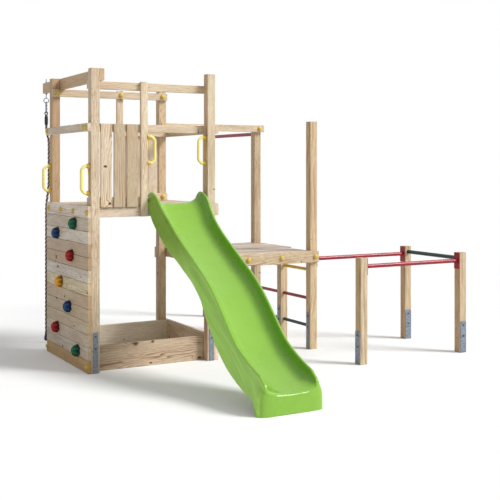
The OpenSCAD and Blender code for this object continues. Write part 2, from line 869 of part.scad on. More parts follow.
post_front_left();
post_back_left();
post_front_right();
post_back_right();
post_ladder_front();
post_ladder_mid();
post_ladder_back();
post_bar_far();
post_turn_near();
post_turn_back();
post_turn_front();
top_rail_front();
top_rail_back();
rope_beam();
handrail_front();
handrail_left();
handrail_right();
handrail_back();
high_rail();
jamb_front();
jamb_back();
panel_front();
panel_back();
batten_front();
batten_back();
floor_beam_front();
floor_beam_back();
floor_beam_right();
floor_joists();
floor_boards();
wall();
holds_green();
holds_blue();
holds_red();
hold_yellow();
sandbox_front();
sandbox_back();
sandbox_right();
slide();
handles();
deck_beam_front();
deck_beam_back();
deck_joists();
deck_boards();
rung_yellow();
rung_red();
rung_green();
turn_bar_back();
turn_bar_front();
cross_bar();
high_bar();
ground_straps();
strap_bolts();
bolt_caps();
eye_bolt();
snap_hook();
rope_sleeve();
rope();
rope_end();
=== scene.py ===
import math
import bpy
import bmesh
from mathutils import Matrix, Vector


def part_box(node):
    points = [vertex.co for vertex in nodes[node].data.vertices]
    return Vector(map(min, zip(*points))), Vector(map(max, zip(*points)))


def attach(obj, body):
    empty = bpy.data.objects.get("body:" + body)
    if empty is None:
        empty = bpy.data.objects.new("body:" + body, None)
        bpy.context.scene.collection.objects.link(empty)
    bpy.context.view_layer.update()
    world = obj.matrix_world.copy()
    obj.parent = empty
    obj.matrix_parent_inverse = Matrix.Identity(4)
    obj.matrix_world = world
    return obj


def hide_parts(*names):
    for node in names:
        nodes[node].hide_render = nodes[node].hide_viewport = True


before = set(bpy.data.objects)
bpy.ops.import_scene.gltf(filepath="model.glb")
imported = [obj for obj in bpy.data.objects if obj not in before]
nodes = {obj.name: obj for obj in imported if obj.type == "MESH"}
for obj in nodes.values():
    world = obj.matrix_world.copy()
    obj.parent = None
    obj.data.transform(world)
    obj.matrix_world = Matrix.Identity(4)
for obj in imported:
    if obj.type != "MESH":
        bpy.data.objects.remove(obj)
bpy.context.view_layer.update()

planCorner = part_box("post_front_left")[0]  # foot of the front left post, where the plan is measured from
print("frame loaded:", len(nodes), "nodes")


def onPlan(x, y, z):  # plan millimetres to metres in the shared frame
    return planCorner + Vector((x, y, z)) / 1000


def every(mm):  # pattern steps to a metre for marks of this many millimetres
    return 1000 / mm


def tint(code):  # sRGB hex to linear
    part = [int(code[i:i + 2], 16) / 255 for i in (1, 3, 5)]
    return [c / 12.92 if c <= 0.04045 else ((c + 0.055) / 1.055) ** 2.4 for c in part] + [1.0]


def join(mat, node, links):  # links by input, where a node stands for its first output
    for key, source in links.items():
        if isinstance(source, bpy.types.Node):
            source = source.outputs[0]
        mat.node_tree.links.new(source, node.inputs[key])


def addNode(mat, kind, settings=None, links=None):
    node = mat.node_tree.nodes.new(kind)
    for key, value in (settings or {}).items():
        if isinstance(key, str) and key[0].islower():
            setattr(node, key, value)
        else:
            node.inputs[key].default_value = value
    join(mat, node, links or {})
    return node


def startFinish(name):
    mat = bpy.data.materials.new(name)
    mat.use_nodes = True
    return mat, mat.node_tree.nodes["Principled BSDF"]


# camera at standing eye height, level, with the picture shifted down from the horizon
camera = dict(place=(-2395.6, -6773.2, 1559.6), yaw=-29.114, lens=67.38, rise=-0.16385)
cam = bpy.data.cameras.new("photoCamera")
cam.lens = camera["lens"]
cam.sensor_width = 36
cam.shift_y = camera["rise"]
camObject = bpy.data.objects.new("photoCamera", cam)
camObject.location = onPlan(*camera["place"])
camObject.rotation_euler = (math.radians(90), 0, math.radians(camera["yaw"]))
bpy.context.scene.collection.objects.link(camObject)
bpy.context.scene.camera = camObject
bpy.context.scene.view_settings.view_transform = "Standard"

# soft key from the front right; the white surround is brighter on that side than behind on the left
lights = dict(keyFrom=(0.70, -0.66, 0.78), keyPower=3.3, keyAngle=20,
    brightSide=(0.55, -0.75, 0.37), turn=(-0.8, 0.9), brightest=0.54, dimmest=0.23)
lamp = bpy.data.lights.new("keyLight", "SUN")
lamp.energy = lights["keyPower"]
lamp.angle = math.radians(lights["keyAngle"])
lampObject = bpy.data.objects.new("keyLight", lamp)
lampObject.rotation_euler = Vector(lights["keyFrom"]).to_track_quat("Z", "Y").to_euler()
bpy.context.scene.collection.objects.link(lampObject)

world = bpy.data.worlds.new("whiteStudio")
bpy.context.scene.world = world
world.use_nodes = True
surround = world.node_tree.nodes["Background"]
surround.inputs["Color"].default_value = (1, 1, 1, 1)
ray = addNode(world, "ShaderNodeLightPath")
mirrored = addNode(world, "ShaderNodeMath", {"operation": "MAXIMUM"},
    {0: ray.outputs["Is Glossy Ray"], 1: ray.outputs["Is Transmission Ray"]})
seen = addNode(world, "ShaderNodeMath", {"operation": "MAXIMUM"},
    {0: ray.outputs["Is Camera Ray"], 1: mirrored})
outward = addNode(world, "ShaderNodeTexCoord")
facing = addNode(world, "ShaderNodeVectorMath", {"operation": "DOT_PRODUCT", 1: lights["brightSide"]},
    {0: outward.outputs["Generated"]})
soft = addNode(world, "ShaderNodeMapRange",
    {"interpolation_type": "SMOOTHSTEP", "From Min": lights["turn"][0], "From Max": lights["turn"][1],
    "To Min": lights["dimmest"], "To Max": lights["brightest"]},
    {"Value": facing.outputs["Value"]})
level = addNode(world, "ShaderNodeMix", {"B": 1.0}, {"A": soft, "Factor": seen})
join(world, surround, {"Strength": level.outputs["Result"]})

# pale painted floor, lit by the lamps near the frame and running out into plain white
floorLook = dict(size=60.0, tone="#EBEBEB", nearEdge=2.6, farEdge=6.5, lift=0.12, below=0.0005)
bm = bmesh.new()
bmesh.ops.create_grid(bm, x_segments=1, y_segments=1, size=floorLook["size"])
floorMesh = bpy.data.meshes.new("studioFloor")
bm.to_mesh(floorMesh)
bm.free()
studioFloor = bpy.data.objects.new("studioFloor", floorMesh)
studioFloor.location = (0, 0, -floorLook["below"])
bpy.context.scene.collection.objects.link(studioFloor)
floorFinish, shader = startFinish("paleFloorPaint")
shader.inputs["Base Color"].default_value = tint(floorLook["tone"])
shader.inputs["Roughness"].default_value = 0.9
shader.inputs["Specular IOR Level"].default_value = 0.1
where = addNode(floorFinish, "ShaderNodeTexCoord")
away = addNode(floorFinish, "ShaderNodeVectorMath", {"operation": "LENGTH"}, {0: where.outputs["Object"]})
far = addNode(floorFinish, "ShaderNodeMapRange",
    {"interpolation_type": "SMOOTHSTEP", "From Min": floorLook["nearEdge"], "From Max": floorLook["farEdge"]},
    {"Value": away.outputs["Value"]})
ray = addNode(floorFinish, "ShaderNodeLightPath")
seen = addNode(floorFinish, "ShaderNodeMath", {"operation": "MULTIPLY"},
    {0: ray.outputs["Is Camera Ray"], 1: far})
glow = addNode(floorFinish, "ShaderNodeMath", {"operation": "MULTIPLY", 1: floorLook["lift"]},
    {0: ray.outputs["Is Camera Ray"]})
shader.inputs["Emission Color"].default_value = (1, 1, 1, 1)
join(floorFinish, shader, {"Emission Strength": glow})
plainWhite = addNode(floorFinish, "ShaderNodeEmission")
both = addNode(floorFinish, "ShaderNodeMixShader", {}, {0: seen, 1: shader, 2: plainWhite})
floorMesh.materials.append(floorFinish)
join(floorFinish, floorFinish.node_tree.nodes["Material Output"], {"Surface": both})
print("studio set")


def dress(finish, *names):  # a new finish on solids that keep their shape
    for name in names:
        nodes[name].data.materials.clear()
        nodes[name].data.materials.append(finish)


# planed pine, sealed: pale earlywood with amber latewood lines round a pith that lies outside the board,
# brown knots that push the lines aside, and fine fibre streaks
# the rings are drawn coarser than the 3 mm of real ones so that they show
grainTurn = {"X": (0, 0, 0), "Y": (0, 0, math.pi / 2), "Z": (0, -math.pi / 2, 0)}
pineLook = dict(pale="#D9C7AB", late="#A47C55", heart="#B4947A", knot="#5A3820", seam="#3A2A1C", rough=0.56,
    ring=0.011, lines=0.85, warp=0.022, blotch=0.4, flecks=0.22, jointHalf=0.002,
    knotCell=(0.30, 1.1), knotSize=0.0095, knotLong=0.8)
grainNoise = {  # millimetres along and across the grain, detail, roughness
    "uneven": (454.5, 62.5, 2.0, 0.5),  # rings that wave
    "fibre": (142.9, 4.76, 3.0, 0.5),  # streaks of fibre
    "patch": (384.6, 90.9, 2.0, 0.5),  # where the ring lines come and go
    "fleck": (45.45, 9.09, 2.0, 0.5),  # short dark dashes where the saw cut the ring lines
    "heart": (666.7, 41.67, 3.0, 0.6),  # broad pinkish brown heartwood that fades in and out along the board
}
# slow darkening through the season, then a sharp edge
ringRamp = ((0.12, 0.0), (0.5, 0.16), (0.8, 0.85), (0.93, 1.0))
ringStart = 0.12
# the pith, in metres: how far it lies to the side and behind, and how far it wanders over every 769 mm
pithLook = dict(lean=0.07, behind=(0.06, 0.11), every=769.2, swing=0.09, dip=0.05)
ownStart = dict(seed=7.31, along=17.0)  # sets each board at its own place in the pattern


def boardPlace(mat, centre, grain, split):  # places along, beside and behind a board's middle, and its number
    where = addNode(mat, "ShaderNodeTexCoord")
    turned = addNode(mat, "ShaderNodeMapping",
        {"vector_type": "TEXTURE", "Location": centre, "Rotation": grainTurn[grain]},
        {"Vector": where.outputs["Object"]})
    axes = addNode(mat, "ShaderNodeSeparateXYZ", {}, {0: turned})
    along, side, depth = axes.outputs
    boardNumber = {}
    if split:  # boards laid side by side: each gets its own number and its own middle
        axis, first, pitch = split
        shifted = addNode(mat, "ShaderNodeMath", {"operation": "SUBTRACT", 1: first}, {0: axes.outputs[axis]})
        counted = addNode(mat, "ShaderNodeMath", {"operation": "DIVIDE", 1: pitch}, {0: shifted})
        boardNumber = {0: addNode(mat, "ShaderNodeMath", {"operation": "FLOOR"}, {0: counted})}
        within = addNode(mat, "ShaderNodeMath", {"operation": "FRACT"}, {0: counted})
        local = addNode(mat, "ShaderNodeMath", {"operation": "MULTIPLY_ADD", 1: pitch, 2: -pitch / 2},
            {0: within})
        side, depth = (local, depth) if axis == 1 else (side, local)
    return along, side, depth, boardNumber


# the pith wanders and leans along the board, which draws the pointed arches on a flat face
def pithPlace(mat, start, side, depth, luck):
    lean, (nearest, farthest) = pithLook["lean"], pithLook["behind"]
    wander = addNode(mat, "ShaderNodeTexNoise",
        {"noise_dimensions": "1D", "Scale": every(pithLook["every"]), "Detail": 1.0}, {"W": start})
    leanSide = addNode(mat, "ShaderNodeMapRange", {"To Min": -lean, "To Max": lean},
        {"Value": luck.outputs[1]})
    leanDepth = addNode(mat, "ShaderNodeMapRange", {"To Min": nearest, "To Max": farthest},
        {"Value": luck.outputs[2]})
    swing = addNode(mat, "ShaderNodeMath", {"operation": "MULTIPLY_ADD", 1: pithLook["swing"]},
        {0: wander, 2: leanSide})
    pithSide = addNode(mat, "ShaderNodeMath", {"operation": "ADD"}, {0: side, 1: swing})
    dip = addNode(mat, "ShaderNodeMath", {"operation": "MULTIPLY_ADD", 1: pithLook["dip"]},
        {0: wander, 2: leanDepth})
    pithDepth = addNode(mat, "ShaderNodeMath", {"operation": "ADD"}, {0: depth, 1: dip})
    return pithSide, pithDepth


# branches run out from the pith: a knot has a place along the board and a turn round the pith
def knotPattern(mat, look, start, turn, radius):
    cellLong, cellTurn = look["knotCell"]
    knotAlong = addNode(mat, "ShaderNodeMath", {"operation": "DIVIDE", 1: cellLong}, {0: start})
    knotTurn = addNode(mat, "ShaderNodeMath", {"operation": "DIVIDE", 1: cellTurn}, {0: turn})
    knotSpot = addNode(mat, "ShaderNodeCombineXYZ", {}, {0: knotAlong, 1: knotTurn})
    cells = addNode(mat, "ShaderNodeTexVoronoi", {"voronoi_dimensions": "2D", "Scale": 1.0},
        {"Vector": knotSpot})
    apart = addNode(mat, "ShaderNodeVectorMath", {"operation": "SUBTRACT"},
        {0: knotSpot, 1: cells.outputs["Position"]})
    apartAxes = addNode(mat, "ShaderNodeSeparateXYZ", {}, {0: apart})
    apartAlong = addNode(mat, "ShaderNodeMath", {"operation": "MULTIPLY", 1: cellLong * look["knotLong"]},
        {0: apartAxes})
    apartTurn = addNode(mat, "ShaderNodeMath", {"operation": "MULTIPLY", 1: cellTurn},
        {0: apartAxes.outputs[1]})
    apartRound = addNode(mat, "ShaderNodeMath", {"operation": "MULTIPLY"},
        {0: apartTurn, 1: radius.outputs["Value"]})
    apartFlat = addNode(mat, "ShaderNodeCombineXYZ", {}, {0: apartAlong, 1: apartRound})
    knotAway = addNode(mat, "ShaderNodeVectorMath", {"operation": "LENGTH"}, {0: apartFlat})
    cellLuck = addNode(mat, "ShaderNodeSeparateColor", {}, {0: cells.outputs["Color"]})
    knotSize = addNode(mat, "ShaderNodeMapRange",
        {"From Min": 0.35, "To Min": 0.0001, "To Max": look["knotSize"]}, {"Value": cellLuck})
    knotShare = addNode(mat, "ShaderNodeMath", {"operation": "DIVIDE"},
        {0: knotAway.outputs["Value"], 1: knotSize})
    knot = addNode(mat, "ShaderNodeMapRange",
        {"interpolation_type": "SMOOTHSTEP", "From Min": 1.25, "From Max": 0.75}, {"Value": knotShare})
    bulge = addNode(mat, "ShaderNodeMapRange",
        {"interpolation_type": "SMOOTHERSTEP", "From Min": 5.0, "From Max": 0.0, "To Max": 2.2},
        {"Value": knotShare})
    bulgeWide = addNode(mat, "ShaderNodeMath", {"operation": "MULTIPLY"}, {0: bulge, 1: knotSize})
    return knot, bulgeWide


def ringPattern(mat, look, radius, bulgeWide, uneven):  # growth rings that wave, pushed aside by the knots
    warped = addNode(mat, "ShaderNodeMath", {"operation": "MULTIPLY_ADD", 1: look["warp"]},
        {0: uneven, 2: radius.outputs["Value"]})
    pushed = addNode(mat, "ShaderNodeMath", {"operation": "ADD"}, {0: warped, 1: bulgeWide})
    rings = addNode(mat, "ShaderNodeMath", {"operation": "DIVIDE", 1: look["ring"]}, {0: pushed})
    season = addNode(mat, "ShaderNodeMath", {"operation": "FRACT"}, {0: rings})
    lines = addNode(mat, "ShaderNodeValToRGB", {}, {0: season})
    for end, at in zip(lines.color_ramp.elements, (0.0, 1.0)):
        end.position, end.color = at, (ringStart, ringStart, ringStart, 1)
    for at, value in ringRamp:
        lines.color_ramp.elements.new(at).color = (value, value, value, 1)
    return lines


def boardTones(mat, tones, boardNumber):  # each board's own tone
    share = addNode(mat, "ShaderNodeMath",
        {"operation": "MULTIPLY_ADD", 1: 1 / len(tones), 2: 0.5 / len(tones)}, boardNumber)
    ramp = addNode(mat, "ShaderNodeValToRGB", {}, {0: share})
    ramp.color_ramp.interpolation = "CONSTANT"
    ramp.color_ramp.elements.remove(ramp.color_ramp.elements[1])
    ramp.color_ramp.elements[0].position = 0.0
    ramp.color_ramp.elements[0].color = tint(tones[0])
    for i, tone in enumerate(tones[1:], 1):
        ramp.color_ramp.elements.new(i / len(tones)).color = tint(tone)
    return ramp


def sawnMarks(mat, look, grain, colour, along, boardNumber):  # what cutting the boards leaves on them
    if "joint" in look:  # a board made of two lengths shows a 4 mm joint
        which, at = look["joint"]
        chosen = addNode(mat, "ShaderNodeMath", {"operation": "COMPARE", 1: which, 2: 0.4}, boardNumber)
        near = addNode(mat, "ShaderNodeMath", {"operation": "COMPARE", 1: at, 2: look["jointHalf"]},
            {0: along})
        seam = addNode(mat, "ShaderNodeMath", {"operation": "MULTIPLY"}, {0: chosen, 1: near})
        colour = addNode(mat, "ShaderNodeMix", {"data_type": "RGBA", "B": tint(look["seam"])},
            {"A": colour.outputs["Result"], "Factor": seam})
    if "shadedLeft" in look:  # painted shade: the left face of a post, which the key light does not reach, is made browner and darker
        surface = addNode(mat, "ShaderNodeNewGeometry")
        leftward = addNode(mat, "ShaderNodeVectorMath", {"operation": "DOT_PRODUCT", 1: (-1, 0, 0)},
            {0: surface.outputs["Normal"]})
        leftShadeShare = addNode(mat, "ShaderNodeMapRange", {"From Min": 0.6, "From Max": 0.9},
            {"Value": leftward.outputs["Value"]})
        colour = addNode(mat, "ShaderNodeMix",
            {"data_type": "RGBA", "blend_type": "MULTIPLY", "B": tint(look["shadedLeft"])},
            {"A": colour.outputs["Result"], "Factor": leftShadeShare})
    if "ends" in look:  # sawn board ends are darker than planed faces
        surface = addNode(mat, "ShaderNodeNewGeometry")
        faces = addNode(mat, "ShaderNodeSeparateXYZ", {}, {0: surface.outputs["Normal"]})
        sawn = addNode(mat, "ShaderNodeMath", {"operation": "ABSOLUTE"},
            {0: faces.outputs["XYZ".index(grain)]})
        sawnShare = addNode(mat, "ShaderNodeMapRange", {"From Min": 0.7, "From Max": 0.9}, {"Value": sawn})
        colour = addNode(mat, "ShaderNodeMix",
            {"data_type": "RGBA", "blend_type": "MULTIPLY", "B": tint(look["ends"])},
            {"A": colour.outputs["Result"], "Factor": sawnShare})
    return colour


def pineTimber(name, centre, grain, seed, tones=None, split=None, **other):
    look = {**pineLook, **other}
    mat, shader = startFinish(name)
    along, side, depth, boardNumber = boardPlace(mat, centre, grain, split)
    seeded = addNode(mat, "ShaderNodeMath", {"operation": "ADD", 0: 0.0, 1: seed * ownStart["seed"]},
        boardNumber)
    chance = addNode(mat, "ShaderNodeTexWhiteNoise", {"noise_dimensions": "1D"}, {"W": seeded})
    luck = addNode(mat, "ShaderNodeSeparateColor", {}, {0: chance.outputs["Color"]})
    start = addNode(mat, "ShaderNodeMath", {"operation": "MULTIPLY_ADD", 1: ownStart["along"]},
        {0: luck, 2: along})
    pithSide, pithDepth = pithPlace(mat, start, side, depth, luck)
    fromPith = addNode(mat, "ShaderNodeCombineXYZ", {}, {1: pithSide, 2: pithDepth})
    radius = addNode(mat, "ShaderNodeVectorMath", {"operation": "LENGTH"}, {0: fromPith})
    turn = addNode(mat, "ShaderNodeMath", {"operation": "ARCTAN2"}, {0: pithSide, 1: pithDepth})
    knot, bulgeWide = knotPattern(mat, look, start, turn, radius)
    grainSpot = addNode(mat, "ShaderNodeCombineXYZ", {}, {0: start, 1: pithSide, 2: pithDepth})
    noise = {}
    for kind, (long, wide, detail, roughness) in grainNoise.items():
        spot = addNode(mat, "ShaderNodeVectorMath",
            {"operation": "MULTIPLY", 1: (every(long), every(wide), every(wide))}, {0: grainSpot})
        noise[kind] = addNode(mat, "ShaderNodeTexNoise",
            {"Scale": 1.0, "Detail": detail, "Roughness": roughness}, {"Vector": spot})
    lines = ringPattern(mat, look, radius, bulgeWide, noise["uneven"])
    # colour: pale wood, ring lines of uneven strength, fibre and board tone, then knots
    dashes = addNode(mat, "ShaderNodeMapRange",
        {"interpolation_type": "SMOOTHSTEP", "From Min": 0.34, "From Max": 0.72, "To Min": 0.12},
        {"Value": noise["patch"]})
    strength = addNode(mat, "ShaderNodeMath", {"operation": "MULTIPLY"}, {0: lines, 1: dashes})
    strong = addNode(mat, "ShaderNodeMath", {"operation": "MULTIPLY", 1: look["lines"], "use_clamp": True},
        {0: strength})
    boardTone = {"A": boardTones(mat, tones, boardNumber)} if tones else {}
    fleckShare = addNode(mat, "ShaderNodeMapRange",
        {"interpolation_type": "SMOOTHSTEP", "From Min": 0.54, "From Max": 0.64, "To Max": look["flecks"]},
        {"Value": noise["fleck"]})
    heartShare = addNode(mat, "ShaderNodeMapRange",
        {"interpolation_type": "SMOOTHSTEP", "From Min": 0.42, "From Max": 0.68, "To Max": look["blotch"]},
        {"Value": noise["heart"]})
    warm = addNode(mat, "ShaderNodeMix",
        {"data_type": "RGBA", "A": tint(look["pale"]), "B": tint(look["heart"])},
        {**boardTone, "Factor": heartShare})
    marked = addNode(mat, "ShaderNodeMath", {"operation": "MAXIMUM"}, {0: strong, 1: fleckShare})
    grown = addNode(mat, "ShaderNodeMix", {"data_type": "RGBA", "B": tint(look["late"])},
        {"A": warm.outputs["Result"], "Factor": marked})
    value = addNode(mat, "ShaderNodeMapRange",
        {"From Min": 0.25, "From Max": 0.75, "To Min": 0.76, "To Max": 1.2}, {"Value": noise["fibre"]})
    boardValue = addNode(mat, "ShaderNodeMapRange", {"To Min": 0.92, "To Max": 1.05},
        {"Value": chance.outputs["Value"]})
    shade = addNode(mat, "ShaderNodeMath", {"operation": "MULTIPLY"}, {0: value, 1: boardValue})
    toned = addNode(mat, "ShaderNodeVectorMath", {"operation": "SCALE"},
        {0: grown.outputs["Result"], "Scale": shade})
    knotted = addNode(mat, "ShaderNodeMix", {"data_type": "RGBA", "B": tint(look["knot"])},
        {"A": toned, "Factor": knot})
    colour = sawnMarks(mat, look, grain, knotted, along, boardNumber)
    gloss = addNode(mat, "ShaderNodeMapRange",
        {"To Min": look["rough"] - 0.08, "To Max": look["rough"] + 0.12}, {"Value": noise["fibre"]})
    relief = addNode(mat, "ShaderNodeMath", {"operation": "MULTIPLY_ADD", 1: 0.5},
        {0: lines, 2: noise["fibre"]})
    bump = addNode(mat, "ShaderNodeBump", {"Strength": 0.25, "Distance": 0.0006}, {"Height": relief})
    join(mat, shader, {"Base Color": colour.outputs["Result"], "Roughness": gloss, "Normal": bump})
    return mat


streaky = dict(ring=0.034, lines=0.95, blotch=0.5)  # posts sawn so that broad bands of grain show
# split: axis across the boards, their first edge from the middle and their pitch, in metres
# joint: the board that has one and its place along it, in metres
timber = {
    "post_front_left": dict(grain="Z", flecks=0.55),
    "post_back_left": dict(grain="Z", pale="#BEA27E", flecks=0.4),
    # posts below that carry a left-face colour get painted shade on their left faces
    "post_front_right": dict(grain="Z", shadedLeft="#FEF0E6"),
    "post_back_right": dict(grain="Z", pale="#D6BE98", flecks=0.5),
    "post_ladder_front": dict(grain="Z", pale="#CFB892", knotSize=0.002, **streaky),
    "post_ladder_mid": dict(grain="Z", pale="#D2BE9C", **streaky),
    "post_ladder_back": dict(grain="Z", pale="#C9B492", ring=0.034, lines=1.1, blotch=0.5, flecks=0.5,
        knotSize=0.006),
    "post_bar_far": dict(grain="Z"),
    "post_turn_near": dict(grain="Z", pale="#D5C4A4", shadedLeft="#FAECDE", **streaky),
    "post_turn_back": dict(grain="Z", pale="#CDB896", shadedLeft="#FAECDE", **streaky),
    "post_turn_front": dict(grain="Z", pale="#CDB896", shadedLeft="#FAECDE", **streaky),
    "top_rail_front": dict(grain="X", pale="#CDBB9E"),
    "top_rail_back": dict(grain="X"),
    "rope_beam": dict(grain="Y", pale="#C6AA86"),
    "handrail_front": dict(grain="X", knotSize=0.003),
    "handrail_left": dict(grain="Y", pale="#D6CAB6"),
    "handrail_right": dict(grain="Y"),
    "handrail_back": dict(grain="X"),
    "high_rail": dict(grain="X"),
    "jamb_front": dict(grain="Z", pale="#E2D0B2"),
    "jamb_back": dict(grain="Z"),
    "panel_front": dict(grain="Z", split=(2, -0.1605, 0.107), ring=0.015, lines=1.1, blotch=0.25, warp=0.035,
        tones=["#BAA88B", "#BCAB91", "#D9CAB0"]),
    "panel_back": dict(grain="Z", split=(2, -0.1605, 0.107), pale="#D3C5AE"),
    "batten_front": dict(grain="X"),
    "batten_back": dict(grain="X"),
    "floor_beam_front": dict(grain="X", pale="#D8C8B4"),
    "floor_beam_back": dict(grain="X"),
    "floor_beam_right": dict(grain="Y"),
    "floor_joists": dict(grain="X", split=(1, -0.471, 0.314)),
    "floor_boards": dict(grain="Y", split=(1, -0.5275, 0.1055)),
    "wall": dict(grain="Y", split=(2, -0.637, 0.098), joint=(8, 0.285), ends="#E8DCCA",
        knotCell=(0.26, 0.9), knotSize=0.008, knotLong=0.28,
        tones=["#D2AE78", "#E2D6C4", "#E0D3C0", "#D2C2A4", "#CEBC9C", "#D2BD9F", "#E2D5B2", "#E9E3D6",
            "#C0AB8E", "#C6B298", "#E2D8CA", "#D8CEBA", "#F2E7D8"]),
    "sandbox_front": dict(grain="X", pale="#C2AC92", late="#7C5738", ring=0.014, lines=1.2, flecks=0.3,
        warp=0.075, knotCell=(0.2, 0.8), knotSize=0.015, knotLong=0.5),
    # painted light: the sandbox's back and right boards are made near white so that they read as lit, though
    # the tower floor and the deck shade them
    "sandbox_back": dict(grain="X", pale="#FFF2DE", ring=0.018, lines=0.3, blotch=0.1,
        knotCell=(0.42, 1.4), knotSize=0.006),
    "sandbox_right": dict(grain="Y", pale="#F0DAC0", ring=0.018, lines=0.7),
    "deck_beam_front": dict(grain="X", pale="#C9B698", ring=0.02, lines=1.3, flecks=0.6),
    "deck_beam_back": dict(grain="X", ring=0.016),
    "deck_joists": dict(grain="Y", split=(1, -0.46, 0.3)),
    "deck_boards": dict(grain="X", split=(1, -0.523, 0.1046),
        tones=["#CBBFB2", "#A99D92", "#D3C9BD", "#C4B8AB", "#A69B90", "#D1C7BA", "#BBAFA3", "#D6CCC0",
            "#ACA196", "#CCC1B4"]),
}
for seed, (name, look) in enumerate(timber.items(), 1):
    low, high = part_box(name)
    dress(pineTimber("pine_" + name, (low + high) / 2, seed=seed, **look), name)
print("timber finished:", len(timber), "nodes")


def fromNode(name):  # a solid's triangles joined up again, for a piece that takes over its shape
    bm = bmesh.new()
    bm.from_mesh(nodes[name].data)
    bmesh.ops.remove_doubles(bm, verts=bm.verts, dist=0.00002)
    return bm


def closeUp(bm, sides):  # caps the open ends and turns every face outwards
    bmesh.ops.holes_fill(bm, edges=[edge for edge in bm.edges if edge.is_boundary], sides=sides)
    bmesh.ops.recalc_face_normals(bm, faces=bm.faces)


def openRing(bm, sides, radius, matrix):  # the open end that a tube starts from
    ring = bmesh.ops.create_circle(bm, segments=sides, radius=radius, cap_ends=False, matrix=matrix)["verts"]
    return ring + list(dict.fromkeys(edge for vert in ring for edge in vert.link_edges))


def addPiece(bm, name, body, finish, replaces=(), sharp=None, levels=0):
    mesh = bpy.data.meshes.new(name)
    bm.to_mesh(mesh)
    bm.free()
    mesh.materials.append(finish)
    mesh.shade_smooth()
    if sharp:
        mesh.set_sharp_from_angle(angle=math.radians(sharp))
    piece = bpy.data.objects.new(name, mesh)
    bpy.context.scene.collection.objects.link(piece)
    if levels:
        rounder = piece.modifiers.new("rounder", "SUBSURF")
        rounder.levels = rounder.render_levels = levels
    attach(piece, body)
    if replaces:
        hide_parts(*replaces)
    return piece


# turned shape from [radius, height] in millimetres, set on a face
def spunShape(bm, outline, where, facing, steps=28):
    before = set(bm.verts)
    line = [bm.verts.new((r / 1000, 0, h / 1000)) for r, h in outline]
    edges = [bm.edges.new(pair) for pair in zip(line, line[1:])]
    bmesh.ops.spin(bm, geom=line + edges, cent=(0, 0, 0), axis=(0, 0, 1), angle=2 * math.pi, steps=steps,
        use_merge=True)
    fresh = [v for v in bm.verts if v not in before]
    turn = Vector(facing).to_track_quat("Z", "Y").to_matrix().to_4x4()
    bmesh.ops.transform(bm, matrix=Matrix.Translation(where) @ turn, verts=fresh)
    bmesh.ops.remove_doubles(bm, verts=fresh, dist=0.000002)


# pale streaks along the slide's outer walls, which lean to its run: partly rubbed wear, partly painted
# reflection and painted light that brighten walls lying in shade
def slideLightAndWear(mat, where, sheenAndWear, colour, gloss):
    run = addNode(mat, "ShaderNodeMapping",
        {"vector_type": "TEXTURE", "Rotation": (math.radians(sheenAndWear["slope"]), 0, 0),
        "Scale": sheenAndWear["streak"]},
        {"Vector": where.outputs["Object"]})
    rub = addNode(mat, "ShaderNodeTexNoise", {"Scale": 1.0, "Detail": 3.0}, {"Vector": run})
    place = addNode(mat, "ShaderNodeSeparateXYZ", {}, {0: where.outputs["Object"]})
    aside = addNode(mat, "ShaderNodeMath", {"operation": "SUBTRACT", 1: sheenAndWear["middle"]}, {0: place})
    surface = addNode(mat, "ShaderNodeNewGeometry")
    faces = addNode(mat, "ShaderNodeSeparateXYZ", {}, {0: surface.outputs["Normal"]})
    outward = addNode(mat, "ShaderNodeMath", {"operation": "MULTIPLY"}, {0: aside, 1: faces})
    outside = addNode(mat, "ShaderNodeMapRange",
        {"interpolation_type": "SMOOTHSTEP", "From Min": sheenAndWear["outer"][0], "From Max": sheenAndWear["outer"][1],
        "To Max": sheenAndWear["most"]},
        {"Value": outward})
    lower = addNode(mat, "ShaderNodeMapRange",
        {"interpolation_type": "SMOOTHSTEP", "From Min": sheenAndWear["clean"], "From Max": sheenAndWear["rubbed"]},
        {"Value": place.outputs[2]})
    reached = addNode(mat, "ShaderNodeMath", {"operation": "MULTIPLY"}, {0: outside, 1: lower})
    streaks = addNode(mat, "ShaderNodeMapRange", {"From Min": 0.32, "From Max": 0.72, "To Min": 0.5},
        {"Value": rub})
    paintedLightAndWear = addNode(mat, "ShaderNodeMath", {"operation": "MULTIPLY"}, {0: reached, 1: streaks})
    colour = addNode(mat, "ShaderNodeMix", {"data_type": "RGBA", "B": tint(sheenAndWear["tone"])},
        {"A": colour, "Factor": paintedLightAndWear}).outputs["Result"]
    gloss = addNode(mat, "ShaderNodeMath", {"operation": "MULTIPLY_ADD", 1: 0.1},
        {0: paintedLightAndWear, 2: gloss}).outputs[0]
    # painted shade: the inner walls are made a deeper, darker green
    paintedInnerShade = addNode(mat, "ShaderNodeMapRange",
        {"interpolation_type": "SMOOTHSTEP", "From Min": sheenAndWear["inner"][0], "From Max": sheenAndWear["inner"][1],
        "To Max": sheenAndWear["innerShade"]},
        {"Value": outward})
    colour = addNode(mat, "ShaderNodeMix", {"data_type": "RGBA", "B": tint(sheenAndWear["deep"])},
        {"A": colour, "Factor": paintedInnerShade}).outputs["Result"]
    return colour, gloss


